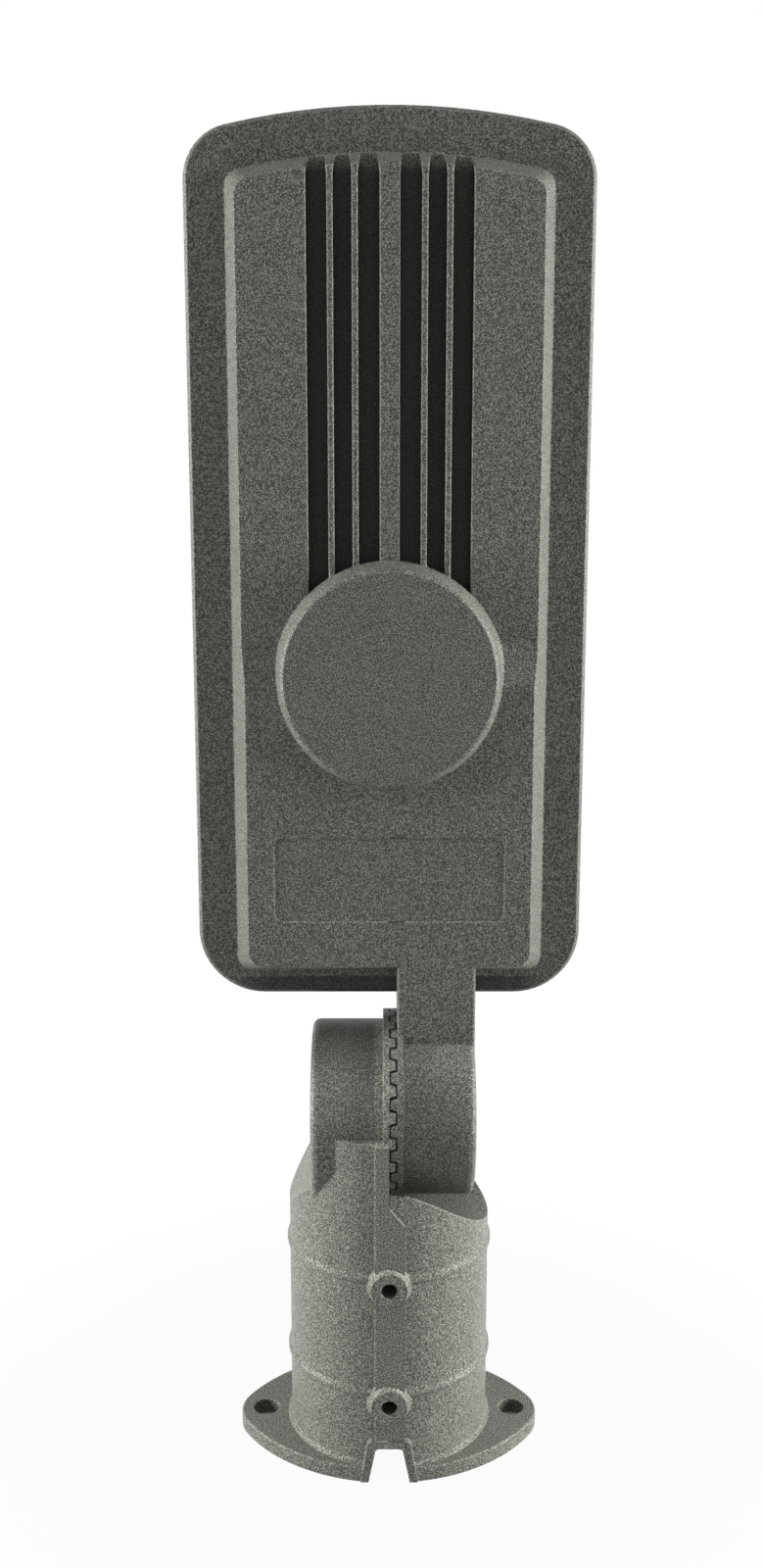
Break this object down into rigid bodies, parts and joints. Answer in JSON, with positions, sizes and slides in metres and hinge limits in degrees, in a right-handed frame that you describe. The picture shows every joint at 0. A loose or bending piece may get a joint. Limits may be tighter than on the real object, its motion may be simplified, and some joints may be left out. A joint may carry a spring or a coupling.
{
  "type": "street light head",
  "caption": "Flat street light head with a finned housing on a toothed tilting knuckle and a flanged pole sleeve.",
  "frame": {"origin": "centre of the pole sleeve's open end, in the plane of the flange's outer face", "axes": "+Z along the sleeve towards the head, +X along the tilt hinge, -Y out of the head's finned front"},
  "size_m": [0.1262, 0.0733, 0.438],
  "materials": {
    "sleeve_casting": "cast, with a textured powder coat",
    "head_casting": "cast, with a textured powder coat",
    "cover_sheet": "sheet, with a textured powder coat",
    "zinc_steel": "zinc plated",
    "stainless_steel": "turned",
    "clear_lens": "clear moulded",
    "seal_rubber": "matt",
    "brass": "turned",
    "board_white": "solder mask",
    "led_phosphor": "phosphor",
    "driver_case": "satin",
    "terminal_plastic": "moulded",
    "gland_plastic": "moulded"
  },
  "bodies": {
    "bracket": {"pole_sleeve": "sleeve_casting", "clamp_nut": "zinc_steel", "nut_washer": "zinc_steel"},
    "clamp": {"clamp_bolt": "zinc_steel", "spring_washer": "zinc_steel", "flat_washer": "zinc_steel"},
    "head": {"head_housing": "head_casting", "driver_cover": "cover_sheet", "lens_plate": "clear_lens", "lens_gasket": "seal_rubber", "cover_gasket": "seal_rubber", "lens_screws": "stainless_steel", "cover_screws": "stainless_steel", "board_screws": "stainless_steel", "driver_screws": "stainless_steel", "earth_screw": "brass", "earth_washer": "brass", "terminal_screws": "brass", "led_board": "board_white", "led_chips": "led_phosphor", "led_driver": "driver_case", "terminal_block": "terminal_plastic", "wire_bush": "seal_rubber", "gland_body": "gland_plastic", "gland_cap": "gland_plastic", "gland_locknut": "gland_plastic", "gland_seal": "seal_rubber"}
  },
  "joints": [
    {"name": "knuckle_release", "type": "slide", "parent": "bracket", "child": "clamp", "axis": [1, 0, 0], "range_m": [0, 0.003]},
    {"name": "head_tilt", "type": "hinge", "parent": "clamp", "child": "head", "pos_m": [0.00125, 0, 0.1182], "axis": [1, 0, 0], "range_deg": [-90, 90]}
  ]
}
